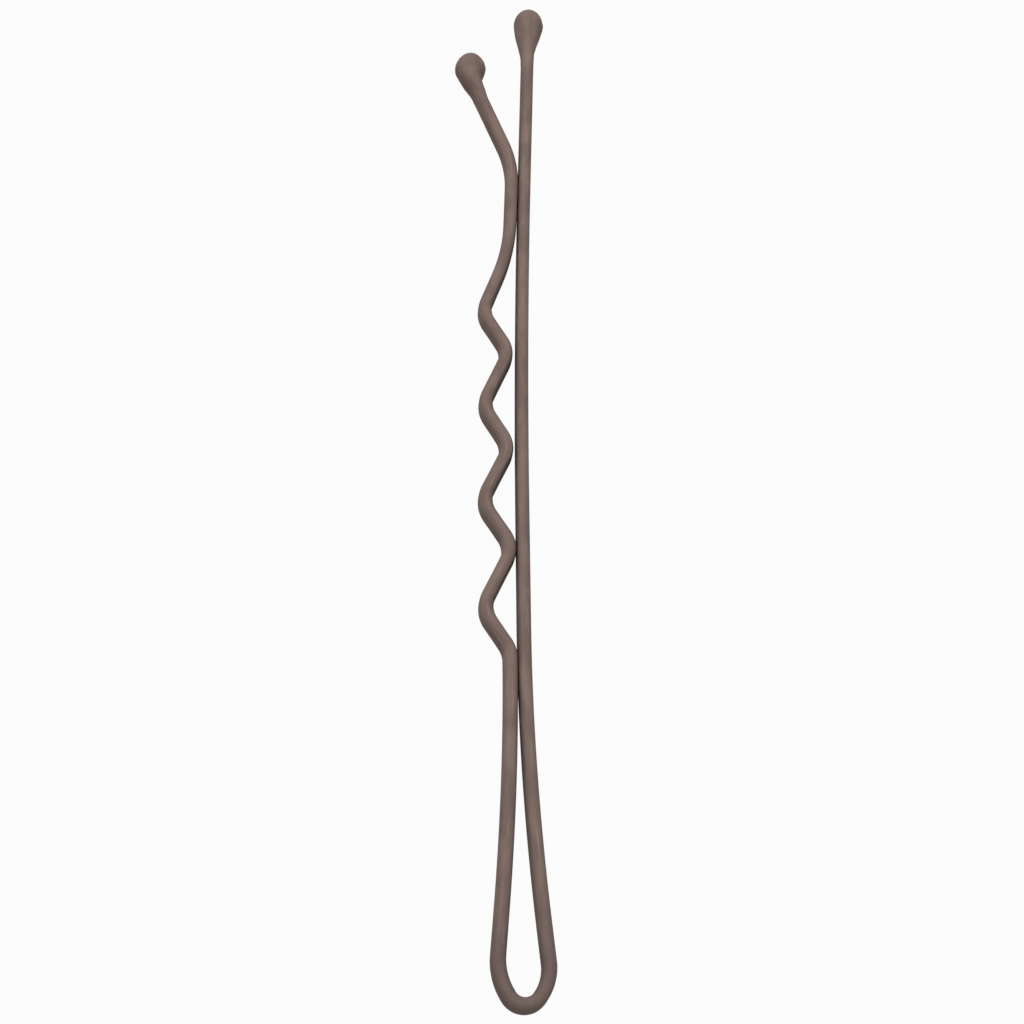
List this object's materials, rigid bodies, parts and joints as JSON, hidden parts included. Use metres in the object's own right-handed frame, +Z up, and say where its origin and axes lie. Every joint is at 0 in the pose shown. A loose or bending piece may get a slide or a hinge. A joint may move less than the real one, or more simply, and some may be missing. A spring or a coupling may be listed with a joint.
{
  "type": "bobby pin",
  "caption": "Sprung hair pin of flat enamelled wire: a straight leg and a crimped leg joined by a teardrop loop, with resin ball tips.",
  "frame": {"origin": "on the table, under the centre of the pin's box, with the pin lying flat", "axes": "+X across the legs from the crimped leg to the straight leg, +Y along the legs from the loop to the ball tips, +Z up"},
  "size_m": [0.0062, 0.055, 0.0017],
  "materials": {
    "wire_enamel": "matte taupe-brown baked enamel on rolled flat spring steel, with faint lengthwise drawing streaks",
    "tip_resin": "matte taupe-brown resin drop, cured round the end of the wire"
  },
  "bodies": {
    "straight_leg": {"straight_leg": "wire_enamel", "spring_bend": "wire_enamel", "straight_leg_tip": "tip_resin"},
    "crimped_leg": {"crimped_leg": "wire_enamel", "crimped_leg_tip": "tip_resin"}
  },
  "joints": [
    {"name": "leg_opening", "type": "hinge", "parent": "straight_leg", "child": "crimped_leg", "pos_m": [0.00175, -0.02644, 0.00086], "axis": [0, 0, 1], "range_deg": [0, 14], "stiffness_Nm_per_rad": 0.15, "springref_deg": -3.44, "deforming": ["spring_bend"]}
  ]
}
